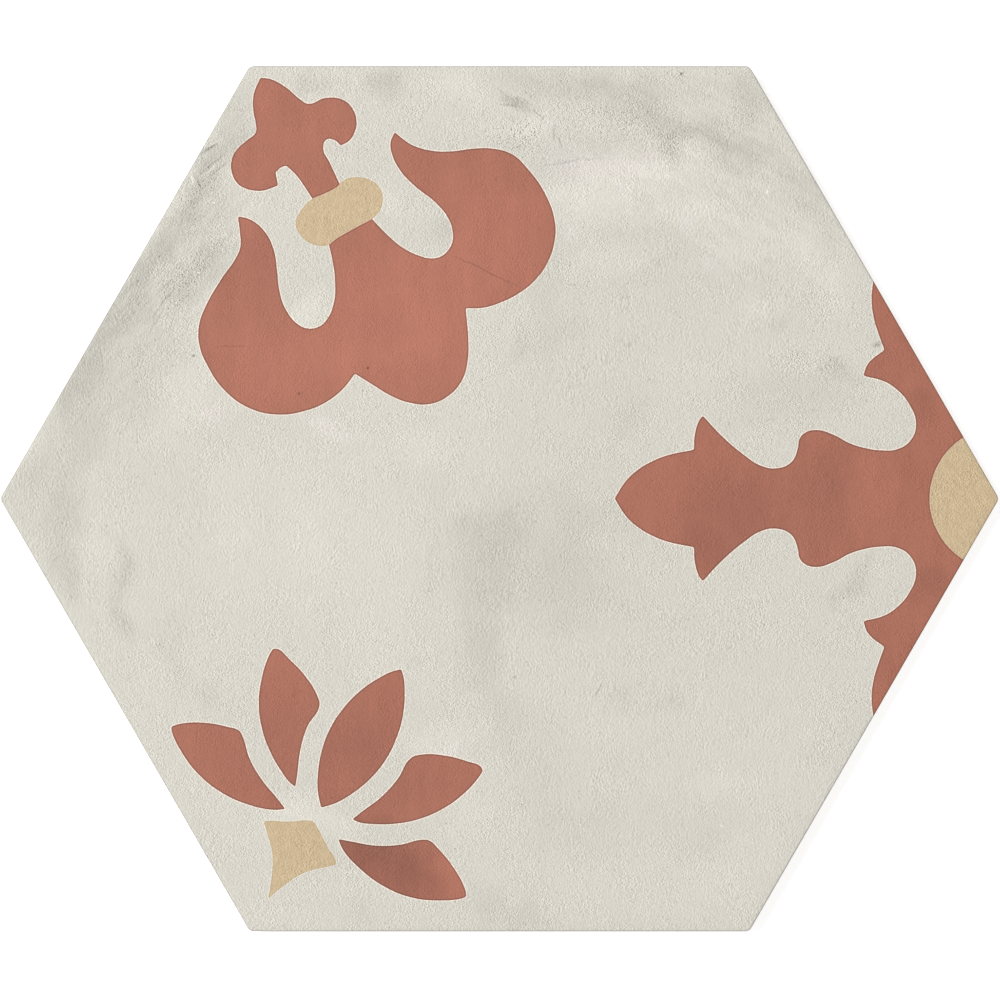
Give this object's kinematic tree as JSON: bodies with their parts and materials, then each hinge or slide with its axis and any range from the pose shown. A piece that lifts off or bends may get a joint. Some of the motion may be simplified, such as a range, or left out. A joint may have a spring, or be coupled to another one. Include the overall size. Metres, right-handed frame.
{
  "type": "hexagon floor tile",
  "caption": "Flat hexagonal ceramic tile with eased edges, printed ornament on its face and honeycomb keys in its back, for floors and walls.",
  "frame": {"origin": "centre of the back, in the plane that the tile rests on", "axes": "+X towards a corner, +Y towards a flat side, +Z out of the decorated face"},
  "size_m": [0.2938, 0.255, 0.0095],
  "materials": {
    "decorated_porcelain": "matt glaze with a printed decor; unglazed pale body at the sides and back"
  },
  "bodies": {
    "root": {"hexagon_tile": "decorated_porcelain"}
  },
  "joints": []
}
